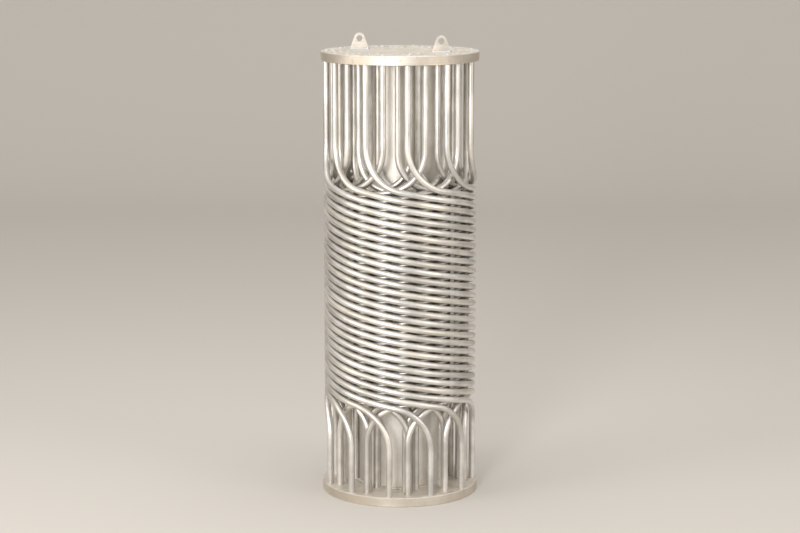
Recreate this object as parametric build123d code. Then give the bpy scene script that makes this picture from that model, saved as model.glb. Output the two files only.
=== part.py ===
from build123d import *
from math import atan, ceil, cos, degrees, pi, radians, sin, sqrt
import os

os.makedirs("parts", exist_ok=True)

# Tube bundle of a spiral-wound heat exchanger, standing upright on its lower tubesheet.
# Five layers of tubes are wound around a core pipe, each layer the other way round from the last.
# Every tube runs straight out of the winding at both ends and through a tubesheet.
# Millimetres. Origin at the centre of the lower tubesheet's outer face, +Z up the core pipe, -Y the front.

# Whole bundle
OVERALL_HEIGHT = 1155.0
SHEET_OD = 408.0
SHEET_THICKNESS = 24.0
SHEET_CHAMFER = 1.5

# Tube stock
TUBE_OD = 16.0
TUBE_WALL = 1.5
TUBE_HOLE_GAP = 0.15

# Winding: the outermost layer holds eleven tubes, and each layer inside it one tube fewer
OUTERMOST_TUBES = 11
INNERMOST_TUBES = 7
AXIAL_PITCH = 21.5
WINDING_BOTTOM = 256.0
WINDING_TOP = 812.0
CORE_OD = 219.1
CORE_WALL = 6.0
SEAT_GAP = 0.3

# Tubes are bent in pairs of circular arcs, and in the winding a pair takes up at most this turn
PAIR_TURN = 90.0

# Bends: each takes up this angle around the core, but none is tighter than three tube diameters
BEND_TURN = 28.0
SMALLEST_BEND_RADIUS = 3 * TUBE_OD

# Where the first tube of each layer meets the upper tubesheet
OUTERMOST_MOUTH = -117.0
TURN_PER_LAYER = 12.5

# Upright strips between the layers
STRIP_THICKNESS = 1.5
STRIP_WIDTH = 14.0
STRIPS_PER_LAYER = 4

# Lifting lugs on the upper tubesheet, between the tube mouths
LUG_BASE = 44.0
LUG_HEIGHT = 42.0
LUG_THICKNESS = 8.0
LUG_NOSE_RADIUS = 14.0
LUG_HOLE_RADIUS = 8.0
LUG_X = 105.0
LUG_Y = -55.0

# Sizes that follow from the ones above
LAYERS = range(OUTERMOST_TUBES, INNERMOST_TUBES - 1, -1)
TUBE_RADIUS = TUBE_OD / 2
LAYER_PITCH = TUBE_OD + STRIP_THICKNESS + 2 * SEAT_GAP
WINDING_HEIGHT = WINDING_TOP - WINDING_BOTTOM


def layer_radius(tubes):
    """Centreline radius of the layer that holds this many tubes."""
    innermost = CORE_OD / 2 + SEAT_GAP + TUBE_RADIUS
    return innermost + (tubes - INNERMOST_TUBES) * LAYER_PITCH


def lead(tubes):
    """Height that one tube climbs in a full turn."""
    return tubes * AXIAL_PITCH


def helix_angle(tubes):
    """Slope of the winding in radians. It is almost the same in every layer, so the tubes are alike in length."""
    return atan(lead(tubes) / (2 * pi * layer_radius(tubes)))


def hand(tubes):
    """Layers with an odd number of tubes are wound left-handed, and the others right-handed."""
    return -1 if tubes % 2 else 1


def winding_turn(tubes):
    """Angle that one tube turns through in its helical part."""
    return 360 * WINDING_HEIGHT / lead(tubes)


def bend_radius(tubes):
    wanted = radians(BEND_TURN) * layer_radius(tubes) / (1 - sin(helix_angle(tubes)))
    return max(wanted, SMALLEST_BEND_RADIUS)


def bend_height(tubes):
    return bend_radius(tubes) * cos(helix_angle(tubes))


def bend_turn(tubes):
    """Angle around the core that one bend takes up."""
    around = bend_radius(tubes) * (1 - sin(helix_angle(tubes)))
    return degrees(around / layer_radius(tubes))


def mouth_azimuth(tubes, side):
    """Where the first tube of a layer meets the upper (side 1) or lower (side -1) tubesheet."""
    upper = OUTERMOST_MOUTH + (OUTERMOST_TUBES - tubes) * TURN_PER_LAYER
    if side > 0:
        return upper
    return upper - hand(tubes) * (winding_turn(tubes) + 2 * bend_turn(tubes))


def on_layer(tubes, azimuth, height):
    """A point on the cylinder that a layer's centrelines lie on."""
    radius = layer_radius(tubes)
    return Vector(radius * cos(radians(azimuth)), radius * sin(radians(azimuth)), height)


def heading(tubes, azimuth):
    """Direction in which a tube climbs through the winding at this azimuth."""
    level = hand(tubes) * cos(helix_angle(tubes))
    return Vector(-level * sin(radians(azimuth)), level * cos(radians(azimuth)), sin(helix_angle(tubes)))


def stations(tubes):
    """Points that one tube's centreline passes from the lower bend to the upper one, and its direction there."""
    upright = Vector(0, 0, 1)
    last = mouth_azimuth(tubes, 1) - hand(tubes) * bend_turn(tubes)
    steps = ceil(winding_turn(tubes) / PAIR_TURN)
    spots = [(on_layer(tubes, mouth_azimuth(tubes, -1), WINDING_BOTTOM - bend_height(tubes)), upright)]
    for step in range(steps + 1):
        below = 1 - step / steps
        azimuth = last - hand(tubes) * winding_turn(tubes) * below
        spot = on_layer(tubes, azimuth, WINDING_TOP - WINDING_HEIGHT * below)
        spots.append((spot, heading(tubes, azimuth)))
    spots.append((on_layer(tubes, mouth_azimuth(tubes, 1), WINDING_TOP + bend_height(tubes)), upright))
    return spots


def arc_pair(start, leaving, finish, arriving):
    """Two arcs, tangent to each other, that leave one point and arrive at the next in given directions."""
    chord = finish - start
    ahead = chord.dot(leaving + arriving)
    turned = 2 * (1 - leaving.dot(arriving))
    reach = (sqrt(ahead**2 + turned * chord.dot(chord)) - ahead) / turned
    first_corner = start + leaving * reach
    second_corner = finish - arriving * reach
    middle = (first_corner + second_corner) * 0.5
    return [
        TangentArc(start, middle, tangent=leaving),
        TangentArc(middle, finish, tangent=second_corner - first_corner),
    ]


def tube_path(tubes):
    """Centreline of one tube: straight end, bend, winding, bend, straight end."""
    spots = stations(tubes)
    lower_mouth = on_layer(tubes, mouth_azimuth(tubes, -1), 0)
    upper_mouth = on_layer(tubes, mouth_azimuth(tubes, 1), OVERALL_HEIGHT)
    pieces = [Line(lower_mouth, spots[0][0])]
    for (start, leaving), (finish, arriving) in zip(spots, spots[1:]):
        pieces += arc_pair(start, leaving, finish, arriving)
    pieces.append(Line(spots[-1][0], upper_mouth))
    return Wire([edge for piece in pieces for edge in piece.edges()])


def tube(tubes):
    """First tube of a layer, drawn as a hollow section along its centreline."""
    path = tube_path(tubes)
    ring = Circle(TUBE_RADIUS) - Circle(TUBE_RADIUS - TUBE_WALL)
    return sweep(Plane(path @ 0) * ring, path=path)


def layer(tubes):
    """All tubes of a layer, evenly spaced around the core."""
    first = tube(tubes)
    return [Rot(0, 0, 360 * index / tubes) * first for index in range(tubes)]


def tubesheet(bottom, side):
    """Round plate with a hole for every tube, its rims broken by a small chamfer."""
    middle = bottom + SHEET_THICKNESS / 2
    plate = Cylinder(SHEET_OD / 2, SHEET_THICKNESS)
    plate = chamfer(plate.edges().filter_by(GeomType.CIRCLE), SHEET_CHAMFER)
    hole = Cylinder(TUBE_RADIUS + TUBE_HOLE_GAP, 2 * SHEET_THICKNESS)
    for tubes in LAYERS:
        ring = PolarLocations(layer_radius(tubes), tubes, start_angle=mouth_azimuth(tubes, side))
        plate -= ring * hole
    return Pos(0, 0, middle) * plate


def core_pipe():
    """Pipe that the innermost layer is wound on, standing between the two tubesheets."""
    length = OVERALL_HEIGHT - 2 * SHEET_THICKNESS
    pipe = Cylinder(CORE_OD / 2, length) - Cylinder(CORE_OD / 2 - CORE_WALL, length)
    return Pos(0, 0, OVERALL_HEIGHT / 2) * pipe


def spacer_strips(tubes):
    """Upright strips that keep this layer clear of the one inside it. They end where the bends begin."""
    inner = layer_radius(tubes) - TUBE_RADIUS - SEAT_GAP - STRIP_THICKNESS
    middle = (WINDING_TOP + WINDING_BOTTOM) / 2
    section = Rot(90, 0, 0) * Rectangle(STRIP_THICKNESS, WINDING_HEIGHT)
    strip = revolve(Pos(inner + STRIP_THICKNESS / 2, 0, middle) * section, Axis.Z, degrees(STRIP_WIDTH / inner))
    step = 360 / STRIPS_PER_LAYER
    turned = step / 2 * (tubes % 2)
    return [Rot(0, 0, turned + index * step) * strip for index in range(STRIPS_PER_LAYER)]


def lifting_lug(x, y):
    """Plate lug with a round nose and a shackle hole, standing on the upper tubesheet."""
    nose = Pos(0, LUG_HEIGHT - LUG_NOSE_RADIUS) * Circle(LUG_NOSE_RADIUS)
    foot = Pos(0, LUG_NOSE_RADIUS / 4) * Rectangle(LUG_BASE, LUG_NOSE_RADIUS / 2)
    outline = make_hull(nose.edges() + foot.edges())
    outline -= Pos(0, LUG_HEIGHT - LUG_NOSE_RADIUS) * Circle(LUG_HOLE_RADIUS)
    plate = extrude(outline, LUG_THICKNESS / 2, both=True)
    return Pos(x, y, OVERALL_HEIGHT) * Rot(90, 0, 0) * plate


def save(name, shapes):
    export_step(Compound(children=list(shapes)), f"parts/{name}.step")


LAYER_NAMES = ["outer", "second", "third", "fourth", "innermost"]

save("lower_tubesheet", [tubesheet(0, -1)])
save("upper_tubesheet", [tubesheet(OVERALL_HEIGHT - SHEET_THICKNESS, 1)])
save("core_pipe", [core_pipe()])

for tubes, name in zip(LAYERS, LAYER_NAMES):
    pieces = layer(tubes)
    if tubes == OUTERMOST_TUBES:
        for number, piece in enumerate(pieces, start=1):
            save(f"{name}_tube_{number}", [piece])
    else:
        save(f"{name}_layer_tubes", pieces)
    if tubes > INNERMOST_TUBES:
        save(f"{name}_layer_strips", spacer_strips(tubes))

save("left_lifting_lug", [lifting_lug(-LUG_X, -LUG_Y)])
save("right_lifting_lug", [lifting_lug(LUG_X, LUG_Y)])
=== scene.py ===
# %% [markdown]
# # Tube bundle of a spiral-wound heat exchanger
#
# The real thing is the inside of a heat exchanger: 45 stainless tubes wound in five layers
# around a core pipe, each layer the other way round from the last. At both ends the tubes leave the
# winding in a swept bend, run straight and pass through a thick round tube plate. The bundle stands
# on its lower plate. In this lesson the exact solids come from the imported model, and Blender gives
# them their finishes, their welds, the light and the camera.

# %% Load the exact solids
from math import cos, pi, radians, sin

import bmesh
import bpy
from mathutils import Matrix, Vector


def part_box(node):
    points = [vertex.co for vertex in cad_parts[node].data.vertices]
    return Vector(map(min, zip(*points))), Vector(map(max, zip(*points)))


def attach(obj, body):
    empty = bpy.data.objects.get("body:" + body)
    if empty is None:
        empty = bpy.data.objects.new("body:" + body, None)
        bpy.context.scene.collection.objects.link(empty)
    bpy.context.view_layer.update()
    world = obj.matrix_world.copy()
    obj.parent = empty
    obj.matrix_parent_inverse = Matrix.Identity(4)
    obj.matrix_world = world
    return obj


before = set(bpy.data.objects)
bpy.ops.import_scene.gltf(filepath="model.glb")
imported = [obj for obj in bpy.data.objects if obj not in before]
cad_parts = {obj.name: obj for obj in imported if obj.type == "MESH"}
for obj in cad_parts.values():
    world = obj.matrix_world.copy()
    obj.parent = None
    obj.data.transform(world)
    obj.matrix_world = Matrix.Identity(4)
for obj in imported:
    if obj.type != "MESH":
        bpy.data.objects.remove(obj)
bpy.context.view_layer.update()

print("solids loaded:", len(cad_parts), "nodes")

# %% [markdown]
# ## The sizes that the finishes need
#
# A drawn tube shows fine lines along its length, so its finish has to know which way each tube
# runs. The winding follows a simple rule, and these few sizes are all of it: the radius of the
# innermost layer, the step from layer to layer, the number of tubes in each and the slope of the
# turns. The plates' faces are read from the solids themselves.

# %% Sizes of the winding and the plates
# Lengths in metres, the mouths' angles in degrees, the slope in radians
INNERMOST_RADIUS = 0.11785
LAYER_STEP = 0.0181
LAYERS = 5
INNERMOST_TUBES = 7
TUBE_RADIUS = 0.008
FIRST_MOUTH = -117.0
TURN_PER_LAYER = 12.5
SLOPE = 0.20
WINDING_BOTTOM = 0.256
WINDING_TOP = 0.812

plate_low, plate_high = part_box("upper_tubesheet")
PLATE_TOP = plate_high.z
PLATE_UNDERSIDE = plate_low.z
PLATE_RADIUS = plate_high.x
_, foot_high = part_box("lower_tubesheet")
FOOT_TOP = foot_high.z
print(f"plate radius {PLATE_RADIUS:.3f} m, upper face at {PLATE_TOP:.3f} m")

# %% [markdown]
# ## Small helpers
#
# A material is a tree of nodes, and a shader node group is a smaller tree with named inputs and
# outputs. The helpers below add a node with its settings in one line, join two sockets, and open an
# empty group with the sockets that it is asked for.

# %% Helpers for node trees
def add(tree, kind, inputs=None, **settings):
    """Adds a node, sets its properties, and sets or links its inputs by name or number."""
    made = tree.nodes.new(kind)
    for name, value in settings.items():
        setattr(made, name, value)
    for name, value in (inputs or {}).items():
        socket = made.inputs[name]
        if isinstance(value, bpy.types.NodeSocket):
            tree.links.new(value, socket)
        else:
            socket.default_value = value
    return made


def maths(tree, operation, *values, clamp=False):
    """A Math node with one to three numbers or sockets. Gives its result socket."""
    inputs = dict(enumerate(values))
    return add(tree, "ShaderNodeMath", inputs, operation=operation, use_clamp=clamp).outputs[0]


def fade(tree, value, low, high, to_low=0.0, to_high=1.0):
    """A smooth change from one value to another while the input goes from low to high."""
    made = add(
        tree, "ShaderNodeMapRange",
        {"Value": value, "From Min": low, "From Max": high, "To Min": to_low, "To Max": to_high},
        interpolation_type="SMOOTHSTEP",
    )
    return made.outputs["Result"]


def blend_colours(tree, amount, first, second):
    """A Mix node for colours. Gives its result socket."""
    made = tree.nodes.new("ShaderNodeMix")
    made.data_type = "RGBA"
    # Among a Mix node's sockets, 0 is the factor, and 6, 7 and output 2 belong to colours
    for number, value in ((0, amount), (6, first), (7, second)):
        if isinstance(value, bpy.types.NodeSocket):
            tree.links.new(value, made.inputs[number])
        else:
            made.inputs[number].default_value = value
    return made.outputs[2]


def open_group(name, inputs, outputs):
    """A new shader node group. inputs and outputs are {name: (kind, default)}."""
    kinds = {"number": "NodeSocketFloat", "colour": "NodeSocketColor", "vector": "NodeSocketVector"}
    group = bpy.data.node_groups.new(name, "ShaderNodeTree")
    sockets = group.interface
    for socket_name, (kind, default) in inputs.items():
        socket = sockets.new_socket(name=socket_name, in_out="INPUT", socket_type=kinds[kind])
        if default is not None:
            socket.default_value = default
    for socket_name, kind in outputs.items():
        sockets.new_socket(name=socket_name, in_out="OUTPUT", socket_type=kinds[kind])
    start = group.nodes.new("NodeGroupInput")
    end = group.nodes.new("NodeGroupOutput")
    return group, start.outputs, end


def place(tree, group, inputs=None):
    """Puts a group into a material and gives its outputs."""
    return add(tree, "ShaderNodeGroup", inputs, node_tree=group).outputs


print("helpers ready")

# %% [markdown]
# ## Which way a tube runs
#
# Drawing lines, streaks and scuffs on a tube follow its axis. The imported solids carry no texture
# coordinates, but the winding is regular, so the direction can be worked out from the place alone:
# the distance from the core gives the layer, the layer's number gives the hand of the winding, and
# the height tells the winding from the straight ends. The group gives a vector that runs along the
# tube in X and across it in Y, and a mask that is 1 on the side that faces outwards.

# %% Node group: directions on a wound tube
def make_tube_directions():
    group, _, end = open_group(
        "directions on a wound tube", {},
        {"Along And Across": "vector", "Outer Side": "number"},
    )
    where = add(group, "ShaderNodeTexCoord").outputs["Object"]
    parts = add(group, "ShaderNodeSeparateXYZ", {0: where}).outputs
    x, y, z = parts[0], parts[1], parts[2]
    level = add(group, "ShaderNodeCombineXYZ", {0: x, 1: y}).outputs[0]
    radius = add(group, "ShaderNodeVectorMath", {0: level}, operation="LENGTH").outputs["Value"]
    # Layer 0 is the innermost; the hand is -1 for it and changes sign from layer to layer
    from_core = maths(group, "SUBTRACT", radius, INNERMOST_RADIUS - LAYER_STEP / 2)
    steps = maths(group, "DIVIDE", from_core, LAYER_STEP)
    layer = maths(group, "FLOOR", steps)
    within = maths(group, "SUBTRACT", steps, layer)
    odd = maths(group, "MODULO", layer, 2.0)
    hand = maths(group, "SUBTRACT", maths(group, "MULTIPLY", odd, 2.0), 1.0)
    layer_radius = maths(group, "MULTIPLY_ADD", layer, LAYER_STEP, INNERMOST_RADIUS)
    # The angle is counted from the back, so that its seam never faces the front
    left, front = (maths(group, "MULTIPLY", part, -1.0) for part in (x, y))
    turn = maths(group, "ARCTAN2", left, front)
    around = maths(group, "MULTIPLY", maths(group, "MULTIPLY", turn, -1.0), layer_radius)
    wound = maths(group, "MULTIPLY", around, hand)
    climb = maths(group, "MULTIPLY", z, sin(SLOPE))
    rise = maths(group, "MULTIPLY", z, cos(SLOPE))
    along_turn = maths(group, "MULTIPLY_ADD", wound, cos(SLOPE), climb)
    across_turn = maths(group, "MULTIPLY_ADD", wound, -sin(SLOPE), rise)
    # The turns give way to the straight ends over the height of the bends
    middle = (WINDING_TOP + WINDING_BOTTOM) / 2
    half = (WINDING_TOP - WINDING_BOTTOM) / 2
    from_middle = maths(group, "ABSOLUTE", maths(group, "SUBTRACT", z, middle))
    straight = fade(group, from_middle, half + 0.03, half + 0.07)
    turned = {0: along_turn, 1: across_turn, 2: radius}
    on_turns = add(group, "ShaderNodeCombineXYZ", turned).outputs[0]
    on_ends = add(group, "ShaderNodeCombineXYZ", {0: z, 1: around, 2: radius}).outputs[0]
    both = group.nodes.new("ShaderNodeMix")
    both.data_type = "VECTOR"
    group.links.new(straight, both.inputs[0])
    group.links.new(on_turns, both.inputs[4])
    group.links.new(on_ends, both.inputs[5])
    group.links.new(both.outputs[1], end.inputs["Along And Across"])
    group.links.new(fade(group, within, 0.30, 0.80), end.inputs["Outer Side"])
    return group


tube_directions = make_tube_directions()
print("group:", tube_directions.name)

# %% [markdown]
# ## Grain that runs one way
#
# Drawing, rolling and turning all leave fine lines in one direction. A noise texture becomes such a
# grain when its coordinates are stretched: many changes across the lines and few along them. Tubes,
# strips, pipe and plates all use the same group, each with its own line length and width.

# %% Node group: grain
def make_grain():
    group, given, end = open_group(
        "grain",
        {
            "Along And Across": ("vector", None),
            "Line Length": ("number", 0.06),
            "Line Width": ("number", 0.0006),
        },
        {"Lines": "number", "Streaks": "number"},
    )
    parts = add(group, "ShaderNodeSeparateXYZ", {0: given["Along And Across"]}).outputs
    for name, longer, wider, detail in (("Lines", 1.0, 1.0, 3.0), ("Streaks", 5.0, 6.0, 2.0)):
        length = maths(group, "MULTIPLY", given["Line Length"], longer)
        width = maths(group, "MULTIPLY", given["Line Width"], wider)
        stretched = add(group, "ShaderNodeCombineXYZ", {
            0: maths(group, "DIVIDE", parts[0], length),
            1: maths(group, "DIVIDE", parts[1], width),
            2: maths(group, "DIVIDE", parts[2], width),
        }).outputs[0]
        noise = add(
            group, "ShaderNodeTexNoise",
            {"Vector": stretched, "Scale": 1.0, "Detail": detail, "Roughness": 0.6},
        )
        group.links.new(fade(group, noise.outputs[0], 0.30, 0.70), end.inputs[name])
    return group


grain = make_grain()
print("group:", grain.name)

# %% [markdown]
# ## Cloudy tone and scuffs
#
# No steel part in a workshop is one even colour. Pickling, handling and storage leave soft clouds
# of lighter and duller metal, and small matt scuffs where something rubbed. One group gives both
# as masks, from noise at a large and at a small scale, and each material decides how strong they
# are.

# %% Node group: clouds and scuffs
def make_clouds():
    group, given, end = open_group(
        "clouds and scuffs",
        {"Cloud Size": ("number", 0.12), "Scuff Size": ("number", 0.010), "Seed": ("number", 0.0)},
        {"Clouds": "number", "Scuffs": "number"},
    )
    where = add(group, "ShaderNodeTexCoord").outputs["Object"]
    for name, size, detail, low, high in (
        ("Clouds", "Cloud Size", 4.0, 0.36, 0.64),
        ("Scuffs", "Scuff Size", 5.0, 0.60, 0.70),
    ):
        noise = add(group, "ShaderNodeTexNoise", {
            "Vector": where, "W": given["Seed"], "Scale": maths(group, "DIVIDE", 1.0, given[size]),
            "Detail": detail, "Roughness": 0.58,
        }, noise_dimensions="4D")
        group.links.new(fade(group, noise.outputs[0], low, high), end.inputs[name])
    return group


clouds = make_clouds()
print("group:", clouds.name)

# %% [markdown]
# ## Worn edges
#
# Edges are the first thing that gets knocked and rubbed bright. Cycles can round an edge for the
# shading alone with its Bevel node. Where that rounded normal differs from the true one there is an
# edge, and a little noise breaks the mask up so that the wear looks knocked on and not painted on.

# %% Node group: worn edges
def make_worn_edges():
    group, given, end = open_group(
        "worn edges",
        {"Width": ("number", 0.0015), "Patch Size": ("number", 0.012)},
        {"Wear": "number"},
    )
    rounded = add(group, "ShaderNodeBevel", {"Radius": given["Width"]}, samples=4).outputs[0]
    true = add(group, "ShaderNodeNewGeometry").outputs["Normal"]
    likeness = add(group, "ShaderNodeVectorMath", {0: rounded, 1: true}, operation="DOT_PRODUCT")
    edge = fade(group, likeness.outputs["Value"], 0.995, 0.90)
    where = add(group, "ShaderNodeTexCoord").outputs["Object"]
    scale = maths(group, "DIVIDE", 1.0, given["Patch Size"])
    noise = add(group, "ShaderNodeTexNoise", {"Vector": where, "Scale": scale, "Detail": 3.0})
    patches = fade(group, noise.outputs[0], 0.35, 0.60)
    group.links.new(maths(group, "MULTIPLY", edge, patches), end.inputs["Wear"])
    return group


worn_edges = make_worn_edges()
print("group:", worn_edges.name)

# %% [markdown]
# ## How dust settles, and painted shade in the gaps
#
# Fine workshop dust lies on what faces up and dirt stays in the gaps, where nothing wipes it off.
# The gaps also take painted shade: the same darker colour stands in for the shade between the turns.
# The upward part of the surface normal makes a good mask for the dust, and noise makes it patchy.
# The mask comes out beside the colour, because dust also changes how the metal under it shines.

# %% Node group: dust, and painted shade in the gaps
def make_dust():
    group, given, end = open_group(
        "settled dust and painted gap shade",
        {
            "Colour": ("colour", (0.5, 0.5, 0.5, 1)),
            # On the tubes this colour, darker than the steel, is also the painted shade in the gaps.
            "Dust Colour": ("colour", (0.60, 0.54, 0.46, 1)),
            "Amount": ("number", 0.3),
            "In Gaps": ("number", 0.0),
        },
        {"Colour": "colour", "Dust": "number"},
    )
    normal = add(group, "ShaderNodeNewGeometry").outputs["Normal"]
    upward = fade(group, add(group, "ShaderNodeSeparateXYZ", {0: normal}).outputs[2], 0.25, 0.95)
    where = add(group, "ShaderNodeTexCoord").outputs["Object"]
    noise = add(
        group, "ShaderNodeTexNoise",
        {"Vector": where, "Scale": 38.0, "Detail": 6.0, "Roughness": 0.65},
    )
    patchy = fade(group, noise.outputs[0], 0.32, 0.66, 0.25, 1.0)
    # The gap mask is partly real dirt and partly painted shade, darkening the inward side of each
    # layer where the turns shade it.
    lying = maths(group, "MAXIMUM", upward, given["In Gaps"])
    film = maths(group, "MULTIPLY", lying, patchy)
    film = maths(group, "MULTIPLY", film, given["Amount"], clamp=True)
    colour = blend_colours(group, film, given["Colour"], given["Dust Colour"])
    group.links.new(colour, end.inputs["Colour"])
    group.links.new(film, end.inputs["Dust"])
    return group


# The group lays dust and also paints shade into the gaps between the turns.
dust = make_dust()
print("group:", dust.name)

# %% [markdown]
# ## Starting a metal
#
# Every finish here is bare steel with a little dust on it, so they share a start and an end. Each
# material works out its colour, dust, roughness and fine relief in its own cell, and the second
# helper links them to the Principled BSDF. Since dust isn't metal, the surface turns partly matt
# where it lies, and on the tubes also where shade is painted into the gaps.

# %% Helpers: start and finish a metal
def open_metal(name):
    material = bpy.data.materials.new(name)
    material.use_nodes = True
    tree = material.node_tree
    return material, tree, tree.nodes["Principled BSDF"]


def finish_metal(tree, shader, dusty, roughness, height, depth):
    """Links the finish to the shader, with the height as a bump of the given depth in metres."""
    bare = maths(tree, "SUBTRACT", 1.0, dusty["Dust"], clamp=True)
    tree.links.new(dusty["Colour"], shader.inputs["Base Color"])
    tree.links.new(bare, shader.inputs["Metallic"])
    tree.links.new(roughness, shader.inputs["Roughness"])
    bump = add(tree, "ShaderNodeBump", {"Height": height, "Distance": depth, "Strength": 1.0})
    tree.links.new(bump.outputs[0], shader.inputs["Normal"])


print("metal helpers ready")

# %% [markdown]
# ## Drawn stainless tube
#
# The tubes are bright drawn and pickled: a satin metal with fine lines along the tube, soft clouds,
# a few matt scuffs, and warm dirt in the gaps between the turns, which is partly painted shade
# there. One function makes the finish, and it is called for tubes from slightly brighter, duller
# and warmer lots, as a stock of tubes always has.

# %% Finish: drawn tube
TUBE_STREAK = (0.52, 0.48, 0.43, 1)
TUBE_SCUFF = (0.60, 0.58, 0.55, 1)


def make_tube_metal(name, tint, roughness, seed, gap_dust):
    material, tree, shader = open_metal(name)
    run = place(tree, tube_directions)
    lines = place(tree, grain, {
        "Along And Across": run["Along And Across"], "Line Length": 0.050, "Line Width": 0.0007,
    })
    marks = place(tree, clouds, {"Cloud Size": 0.09, "Scuff Size": 0.008, "Seed": seed})
    streaks, scuffs = lines["Streaks"], marks["Scuffs"]
    darker = tuple(c * 0.74 for c in tint) + (1,)
    lighter = tuple(min(c * 1.07, 1.0) for c in tint) + (1,)
    tone = blend_colours(tree, marks["Clouds"], darker, lighter)
    tone = blend_colours(tree, maths(tree, "MULTIPLY", streaks, 0.28), tone, TUBE_STREAK)
    tone = blend_colours(tree, maths(tree, "MULTIPLY", scuffs, 0.40), tone, TUBE_SCUFF)
    # The inward side of each layer gets partly real dirt and partly painted shade: the dust colour
    # darkens the gaps between the turns.
    inward = maths(tree, "SUBTRACT", 1.0, run["Outer Side"])
    dusty = place(tree, dust, {"Colour": tone, "Amount": gap_dust, "In Gaps": inward})
    rough = maths(tree, "MULTIPLY_ADD", streaks, 0.10, roughness)
    rough = maths(tree, "MULTIPLY_ADD", scuffs, 0.12, rough)
    rough = maths(tree, "MULTIPLY_ADD", dusty["Dust"], 0.35, rough, clamp=True)
    height = maths(tree, "MULTIPLY_ADD", scuffs, -0.6, lines["Lines"])
    finish_metal(tree, shader, dusty, rough, height, 0.00006)
    return material


# The last number is how much dirt and painted shade lies in the gaps of each lot.
tube_lots = [
    make_tube_metal("bright drawn tube", (0.88, 0.87, 0.85), 0.30, 1.0, 0.30),
    make_tube_metal("satin drawn tube", (0.84, 0.82, 0.78), 0.34, 2.0, 0.35),
    make_tube_metal("warm drawn tube", (0.86, 0.83, 0.77), 0.32, 3.0, 0.35),
]
inner_tube = make_tube_metal("inner drawn tube", (0.84, 0.82, 0.79), 0.33, 4.0, 0.35)
print("tube finishes:", [m.name for m in tube_lots], inner_tube.name)

# %% [markdown]
# ## Faced tube plate
#
# A tube plate is faced and turned on a lathe, which leaves fine rings on its faces and round its
# rim. The rings come from the distance to the middle on the faces and from the height on the rim,
# both stretched along the turning direction. The plate is warmer than the tubes, with a few rusty
# stains, its edges are worn bright, and pale dust lies on its upper face.

# %% Finish: turned plate
PLATE_DULL, PLATE_BRIGHT = (0.62, 0.56, 0.48, 1), (0.76, 0.71, 0.64, 1)
PLATE_STREAK = (0.56, 0.49, 0.41, 1)
PLATE_STAIN = (0.50, 0.38, 0.28, 1)
PLATE_WORN = (0.86, 0.84, 0.80, 1)
PLATE_DUST = (0.80, 0.76, 0.69, 1)


def make_plate_metal():
    material, tree, shader = open_metal("turned tube plate")
    where = add(tree, "ShaderNodeTexCoord").outputs["Object"]
    parts = add(tree, "ShaderNodeSeparateXYZ", {0: where}).outputs
    level = add(tree, "ShaderNodeCombineXYZ", {0: parts[0], 1: parts[1]}).outputs[0]
    radius = add(tree, "ShaderNodeVectorMath", {0: level}, operation="LENGTH").outputs["Value"]
    left, front = (maths(tree, "MULTIPLY", parts[number], -1.0) for number in (0, 1))
    around = maths(tree, "MULTIPLY", maths(tree, "ARCTAN2", left, front), PLATE_RADIUS)
    turned = add(tree, "ShaderNodeCombineXYZ", {0: around, 1: radius, 2: parts[2]}).outputs[0]
    rings = place(tree, grain, {
        "Along And Across": turned, "Line Length": 0.30, "Line Width": 0.0009,
    })
    marks = place(tree, clouds, {"Cloud Size": 0.11, "Scuff Size": 0.014, "Seed": 7.0})
    streaks, scuffs = rings["Streaks"], marks["Scuffs"]
    wear = place(tree, worn_edges, {"Width": 0.0025, "Patch Size": 0.014})["Wear"]
    tone = blend_colours(tree, marks["Clouds"], PLATE_DULL, PLATE_BRIGHT)
    tone = blend_colours(tree, maths(tree, "MULTIPLY", streaks, 0.30), tone, PLATE_STREAK)
    tone = blend_colours(tree, maths(tree, "MULTIPLY", scuffs, 0.40), tone, PLATE_STAIN)
    tone = blend_colours(tree, wear, tone, PLATE_WORN)
    dusty = place(tree, dust, {"Colour": tone, "Dust Colour": PLATE_DUST, "Amount": 0.50})
    rough = maths(tree, "MULTIPLY_ADD", streaks, 0.12, 0.42)
    rough = maths(tree, "MULTIPLY_ADD", scuffs, 0.15, rough)
    rough = maths(tree, "MULTIPLY_ADD", dusty["Dust"], 0.40, rough)
    rough = maths(tree, "MULTIPLY_ADD", wear, -0.14, rough, clamp=True)
    finish_metal(tree, shader, dusty, rough, rings["Lines"], 0.00012)
    return material


plate_metal = make_plate_metal()
print("finish:", plate_metal.name)

# %% [markdown]
# ## Core pipe, strips, lugs and welds
#
# The core is mill-finish pipe, duller than the tubes. The strips between the layers are
# cold-rolled stock. The lugs were cut from plate and dressed with a grinder. All three are the
# same recipe with other numbers: a grain along one axis, clouds, scuffs, worn edges and some dust.
# The weld metal has no grain; it keeps a straw and blue-grey heat tint in places.

# %% Finish: plain stock
STOCK_WORN = (0.86, 0.85, 0.83, 1)


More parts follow.
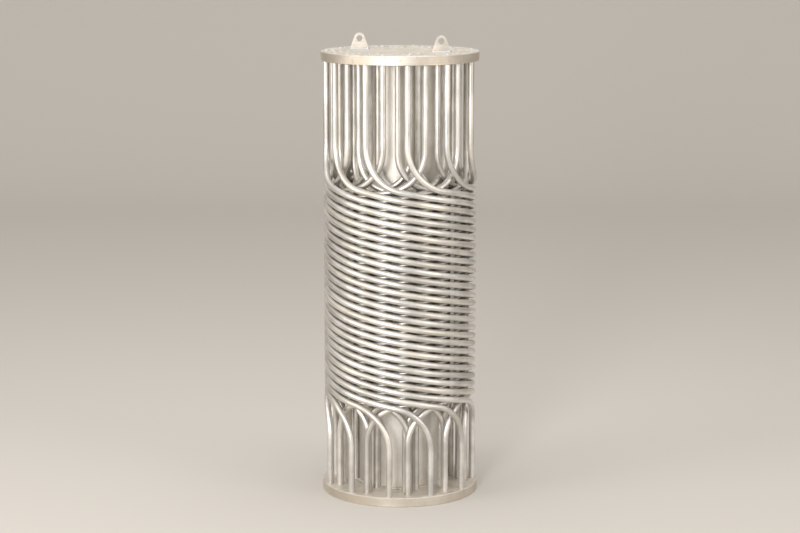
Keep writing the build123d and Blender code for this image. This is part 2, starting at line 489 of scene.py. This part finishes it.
def make_stock_metal(name, dull, bright, roughness, axis, line_length, line_width, seed, dustiness):
    """A finish whose grain runs along the given axis: 0 for X, 1 for Y and 2 for Z."""
    material, tree, shader = open_metal(name)
    where = add(tree, "ShaderNodeTexCoord").outputs["Object"]
    parts = add(tree, "ShaderNodeSeparateXYZ", {0: where}).outputs
    order = [axis] + [number for number in range(3) if number != axis]
    turned = {slot: parts[given] for slot, given in enumerate(order)}
    along = add(tree, "ShaderNodeCombineXYZ", turned).outputs[0]
    lines = place(tree, grain, {
        "Along And Across": along, "Line Length": line_length, "Line Width": line_width,
    })
    marks = place(tree, clouds, {"Cloud Size": 0.07, "Scuff Size": 0.009, "Seed": seed})
    streaks, scuffs = lines["Streaks"], marks["Scuffs"]
    wear = place(tree, worn_edges, {"Width": 0.0012, "Patch Size": 0.010})["Wear"]
    tone = blend_colours(tree, marks["Clouds"], dull, bright)
    tone = blend_colours(tree, maths(tree, "MULTIPLY", streaks, 0.25), tone, dull)
    tone = blend_colours(tree, wear, tone, STOCK_WORN)
    dusty = place(tree, dust, {"Colour": tone, "Amount": dustiness})
    rough = maths(tree, "MULTIPLY_ADD", streaks, 0.12, roughness)
    rough = maths(tree, "MULTIPLY_ADD", scuffs, 0.14, rough)
    rough = maths(tree, "MULTIPLY_ADD", dusty["Dust"], 0.35, rough, clamp=True)
    height = maths(tree, "MULTIPLY_ADD", scuffs, -0.8, lines["Lines"])
    finish_metal(tree, shader, dusty, rough, height, 0.00010)
    return material


core_metal = make_stock_metal(
    "mill finish pipe", dull=(0.70, 0.67, 0.62, 1), bright=(0.83, 0.81, 0.77, 1), roughness=0.40,
    axis=2, line_length=0.12, line_width=0.0012, seed=11.0, dustiness=0.30,
)
strip_metal = make_stock_metal(
    "cold rolled strip", dull=(0.50, 0.48, 0.45, 1), bright=(0.68, 0.66, 0.63, 1), roughness=0.34,
    axis=2, line_length=0.09, line_width=0.0008, seed=12.0, dustiness=0.45,
)
lug_metal = make_stock_metal(
    "cut lug plate", dull=(0.50, 0.46, 0.40, 1), bright=(0.66, 0.62, 0.56, 1), roughness=0.46,
    axis=0, line_length=0.02, line_width=0.0007, seed=13.0, dustiness=0.30,
)
print("finishes:", core_metal.name, "/", strip_metal.name, "/", lug_metal.name)

# %% Finish: weld metal
WELD_STRAW = (0.74, 0.68, 0.58, 1)
WELD_BLUE_GREY = (0.62, 0.64, 0.68, 1)
WELD_BROWN = (0.62, 0.47, 0.30, 1)


def make_weld_metal():
    material, tree, shader = open_metal("weld metal")
    marks = place(tree, clouds, {"Cloud Size": 0.030, "Scuff Size": 0.004, "Seed": 21.0})
    scuffs = marks["Scuffs"]
    tone = blend_colours(tree, marks["Clouds"], WELD_STRAW, WELD_BLUE_GREY)
    tone = blend_colours(tree, maths(tree, "MULTIPLY", scuffs, 0.6), tone, WELD_BROWN)
    dusty = place(tree, dust, {"Colour": tone, "Amount": 0.20})
    rough = maths(tree, "MULTIPLY_ADD", scuffs, 0.20, 0.28)
    rough = maths(tree, "MULTIPLY_ADD", dusty["Dust"], 0.30, rough, clamp=True)
    finish_metal(tree, shader, dusty, rough, scuffs, 0.00010)
    return material


weld_metal = make_weld_metal()
print("finish:", weld_metal.name)

# %% [markdown]
# ## Give every solid its finish
#
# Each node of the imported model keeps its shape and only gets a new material. The tubes of the outer
# layer are separate nodes, so neighbours can come from different lots: the order below never puts
# two tubes of one lot side by side.

# %% Assign the finishes
LOT_ORDER = [0, 1, 0, 2, 0, 1, 2, 0, 1, 0, 2]


def finish_for(node):
    if node.startswith("outer_tube_"):
        number = int(node.rsplit("_", 1)[1])
        return tube_lots[LOT_ORDER[number - 1]]
    if node.endswith("layer_tubes"):
        return inner_tube
    if node.endswith("strips"):
        return strip_metal
    if node.endswith("tubesheet"):
        return plate_metal
    if node.endswith("lug"):
        return lug_metal
    return core_metal


for node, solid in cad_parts.items():
    solid.data.materials.clear()
    solid.data.materials.append(finish_for(node))
print("finished solids:", len(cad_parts))

# %% [markdown]
# ## Where the tubes come through the plates
#
# Each layer's tubes are evenly spaced on its circle, and every layer starts a little further round
# than the one outside it. That gives the centre of all 45 mouths in the upper plate.

# %% Centres of the mouths in the upper plate
def upper_mouths():
    centres = []
    for layer in range(LAYERS):
        tubes = INNERMOST_TUBES + layer
        circle = INNERMOST_RADIUS + layer * LAYER_STEP
        first = FIRST_MOUTH + (LAYERS - 1 - layer) * TURN_PER_LAYER
        for number in range(tubes):
            angle = radians(first + 360 * number / tubes)
            centres.append((circle * cos(angle), circle * sin(angle)))
    return centres


mouths = upper_mouths()
print("mouths:", len(mouths))

# %% [markdown]
# ## Seal welds round the mouths
#
# A tube is sealed to its plate by a small weld run round its end. The bead is about two
# millimetres wide, bulges a little and shows the ripples of its single pass, with a slightly
# fatter spot where the run closes. A ring of quads follows each mouth: the profile gives the
# bulge, two waves with different counts give the ripples, and each bead starts them elsewhere, so
# no two look copied.

# %% Seal welds
SEAL_HALF_WIDTH = 0.0009
SEAL_BULGE = 0.0008
SEAL_SUNK = 0.0002
SEAL_SEGMENTS = 48
# Share of the bead's width, and share of its height there
SEAL_PROFILE = [
    (0.0, 0.0), (0.12, 0.62), (0.32, 0.94), (0.55, 1.0), (0.78, 0.80), (0.93, 0.42), (1.0, 0.0),
]


def close_rows(mesh, rows):
    """Quads between rows of points, round each row and from the last row back to the first."""
    for step, here in enumerate(rows):
        there = rows[(step + 1) % len(rows)]
        for number in range(len(here)):
            following = (number + 1) % len(here)
            mesh.faces.new((here[number], here[following], there[following], there[number]))


def ring_bead(mesh, centre, level, start):
    """A closed weld bead round a tube end, with a rippled back and its edges sunk in the plate."""
    inner = TUBE_RADIUS - SEAL_HALF_WIDTH
    rows = []
    for step in range(SEAL_SEGMENTS):
        angle = 2 * pi * step / SEAL_SEGMENTS
        ripple = 1 + 0.10 * sin(18 * angle + start) + 0.06 * sin(7 * angle + 2 * start)
        closing = 1 + 0.22 * max(0.0, cos(angle - start)) ** 12
        reach = 2 * SEAL_HALF_WIDTH * (1 + 0.05 * sin(5 * angle + 3 * start))
        row = []
        for across, up in SEAL_PROFILE:
            radius = inner + across * reach
            height = SEAL_BULGE * up * ripple * closing - (SEAL_SUNK if up == 0.0 else 0.0)
            x, y = centre[0] + radius * cos(angle), centre[1] + radius * sin(angle)
            row.append(mesh.verts.new((x, y, level + height)))
        rows.append(row)
    close_rows(mesh, rows)


def as_piece(name, mesh, material):
    """Turns a finished bmesh into a smooth-shaded piece that stands with the bundle."""
    bmesh.ops.recalc_face_normals(mesh, faces=mesh.faces[:])
    data = bpy.data.meshes.new(name)
    mesh.to_mesh(data)
    mesh.free()
    for face in data.polygons:
        face.use_smooth = True
    piece = bpy.data.objects.new(name, data)
    bpy.context.scene.collection.objects.link(piece)
    data.materials.append(material)
    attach(piece, "root")
    return piece


seal_mesh = bmesh.new()
for number, centre in enumerate(mouths):
    ring_bead(seal_mesh, centre, PLATE_TOP, start=0.7 * number)
seal_welds = as_piece("mouth_seal_welds", seal_mesh, weld_metal)
print("seal welds:", len(mouths), "beads,", len(seal_welds.data.polygons), "faces")

# %% [markdown]
# ## Fillet welds at the lugs and the core pipe
#
# Each lug stands on the plate in a fillet weld that runs round its foot, and the core pipe has one
# at each plate. A fillet is a rough quarter-round in the corner. The bead is swept along a closed
# path, with the ripples of hand welding in its back.

# %% Fillet bead
FILLET_LEG = 0.0045
# Away from the wall and up it, in shares of the leg; the inner corner is sunk in both
FILLET_PROFILE = [
    (-0.10, 1.0), (0.16, 0.93), (0.42, 0.74), (0.66, 0.50), (0.86, 0.24), (1.0, -0.05),
    (-0.10, -0.05),
]


def fillet_bead(mesh, path, outwards, level, up, ripples):
    """A fillet along a closed path, with the direction away from the wall at each of its points."""
    rows = []
    for step, (spot, away) in enumerate(zip(path, outwards)):
        done = 2 * pi * step / len(path)
        wave = 1 + 0.09 * sin(ripples * done) + 0.05 * sin(ripples // 3 * done + 1)
        leg = FILLET_LEG * wave
        rows.append([
            mesh.verts.new((
                spot[0] + away[0] * leg * across,
                spot[1] + away[1] * leg * across,
                level + up * leg * high,
            ))
            for across, high in FILLET_PROFILE
        ])
    close_rows(mesh, rows)


print("fillet leg:", FILLET_LEG, "m")

# %% Path round a lug's foot
FOOT_CORNER = 0.0012


def foot_path(centre, half_length, half_width, long_side=40, short_side=8, round_corner=6):
    """Points and outward directions round a lug's foot, with its corners slightly rounded."""
    corner = FOOT_CORNER
    spots, outwards = [], []
    corners = [(1, 1, 0), (-1, 1, 90), (-1, -1, 180), (1, -1, 270)]
    for number, (sx, sy, first) in enumerate(corners):
        middle = (centre[0] + sx * (half_length - corner), centre[1] + sy * (half_width - corner))
        for step in range(round_corner + 1):
            angle = radians(first + 90 * step / round_corner)
            spots.append((middle[0] + corner * cos(angle), middle[1] + corner * sin(angle)))
            outwards.append((cos(angle), sin(angle)))
        following = corners[(number + 1) % 4]
        last = spots[-1]
        turn = radians(following[2])
        target = (
            centre[0] + following[0] * (half_length - corner) + corner * cos(turn),
            centre[1] + following[1] * (half_width - corner) + corner * sin(turn),
        )
        pieces = long_side if number % 2 == 0 else short_side
        for step in range(1, pieces):
            share = step / pieces
            spots.append(tuple(a + (b - a) * share for a, b in zip(last, target)))
            outwards.append((cos(turn), sin(turn)))
    return spots, outwards


print("foot corner:", FOOT_CORNER, "m")

# %% Fillet welds at the lugs and the core pipe
for lug in ("left_lifting_lug", "right_lifting_lug"):
    low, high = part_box(lug)
    middle = ((low.x + high.x) / 2, (low.y + high.y) / 2)
    bead = bmesh.new()
    path, outwards = foot_path(middle, (high.x - low.x) / 2, (high.y - low.y) / 2)
    fillet_bead(bead, path, outwards, PLATE_TOP, up=1, ripples=26)
    weld = as_piece(lug.replace("lifting_lug", "lug_weld"), bead, weld_metal)
    print(weld.name, len(weld.data.polygons), "faces")

_, core_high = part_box("core_pipe")
circle = [(cos(radians(angle)), sin(radians(angle))) for angle in range(0, 360, 2)]
around_core = [(core_high.x * x, core_high.x * y) for x, y in circle]
for name, level, up in (("upper_core_weld", PLATE_UNDERSIDE, -1), ("lower_core_weld", FOOT_TOP, 1)):
    bead = bmesh.new()
    fillet_bead(bead, around_core, circle, level, up, ripples=60)
    weld = as_piece(name, bead, weld_metal)
    print(weld.name, len(weld.data.polygons), "faces")

# %% [markdown]
# ## Floor and backdrop
#
# A pale sweep, flat under the bundle and curving up behind it, has no horizon line to distract and
# gives the steel something light to mirror. It is very wide, so that no other view meets its edge.
# It is only a stage, so it isn't part of the object.

# %% Floor and backdrop
def make_sweep():
    material = bpy.data.materials.new("pale studio sweep")
    material.use_nodes = True
    shader = material.node_tree.nodes["Principled BSDF"]
    shader.inputs["Base Color"].default_value = (0.60, 0.57, 0.53, 1)
    shader.inputs["Roughness"].default_value = 0.85
    mesh = bmesh.new()
    width, front, back, bend, height = 120.0, -60.0, 5.0, 2.5, 9.0
    line = [(front, 0.0), (back, 0.0)]
    line += [(back + bend * sin(radians(a)), bend * (1 - cos(radians(a)))) for a in range(6, 91, 6)]
    line.append((back + bend, height))
    rows = [[mesh.verts.new((side * width / 2, y, z)) for side in (-1, 1)] for y, z in line]
    for here, there in zip(rows, rows[1:]):
        mesh.faces.new((here[0], here[1], there[1], there[0]))
    data = bpy.data.meshes.new("studio_sweep")
    mesh.to_mesh(data)
    mesh.free()
    for face in data.polygons:
        face.use_smooth = True
    data.materials.append(material)
    sweep = bpy.data.objects.new("studio_sweep", data)
    bpy.context.scene.collection.objects.link(sweep)
    return sweep


sweep = make_sweep()
print("stage:", sweep.name)

# %% [markdown]
# ## Light
#
# Metal shows what surrounds it. A large soft lamp near the camera, a little to its left, draws one
# broad bright band down the turns and a bright line on every straight tube. Two weaker side lamps
# shape the flanks, and a soft pale surround fills the rest.

# %% Lamps and surround
def soft_lamp(name, place_at, aim, width, height, watts, colour=(1, 1, 1)):
    lamp = bpy.data.lights.new(name, "AREA")
    lamp.shape = "RECTANGLE"
    lamp.size = width
    lamp.size_y = height
    lamp.energy = watts
    lamp.color = colour
    holder = bpy.data.objects.new(name, lamp)
    holder.location = place_at
    holder.rotation_euler = (Vector(aim) - Vector(place_at)).to_track_quat("-Z", "Y").to_euler()
    bpy.context.scene.collection.objects.link(holder)
    return holder


MIDDLE = Vector((0.0, 0.0, 0.58))
soft_lamp("key", (-1.3, -4.9, 1.9), MIDDLE, 1.0, 1.6, watts=110.0)
soft_lamp("left fill", (-3.0, -1.6, 1.6), MIDDLE, 1.4, 2.4, watts=34.0, colour=(1.0, 0.93, 0.83))
soft_lamp("right fill", (3.0, -2.2, 1.6), MIDDLE, 1.4, 2.4, watts=24.0, colour=(1.0, 0.91, 0.80))
soft_lamp("top", (0.0, 0.3, 3.6), MIDDLE, 2.2, 2.2, watts=25.0)

world = bpy.data.worlds.new("pale surround")
bpy.context.scene.world = world
world.use_nodes = True
surround = world.node_tree.nodes["Background"].inputs
surround["Color"].default_value = (1.0, 0.98, 0.95, 1)
surround["Strength"].default_value = 0.80

# %% [markdown]
# ## Camera
#
# The photograph was taken at eye height from about five and a half metres, so the upper plate shows
# as a thin ellipse. The camera stands at that point and looks at the middle of the bundle, with a
# longer lens so that the bundle fills the picture.

# %% Camera
EYE = Vector((0.0, -5.49, 1.55))
AIM = Vector((0.0, 0.0, 0.592))
camera_data = bpy.data.cameras.new("photo view")
camera_data.lens = 96.0
camera_data.sensor_width = 36.0
camera = bpy.data.objects.new("photo view", camera_data)
camera.location = EYE
camera.rotation_euler = (AIM - EYE).to_track_quat("-Z", "Y").to_euler()
bpy.context.scene.collection.objects.link(camera)
bpy.context.scene.camera = camera
bpy.context.scene.view_settings.view_transform = "Standard"
print("camera ready")
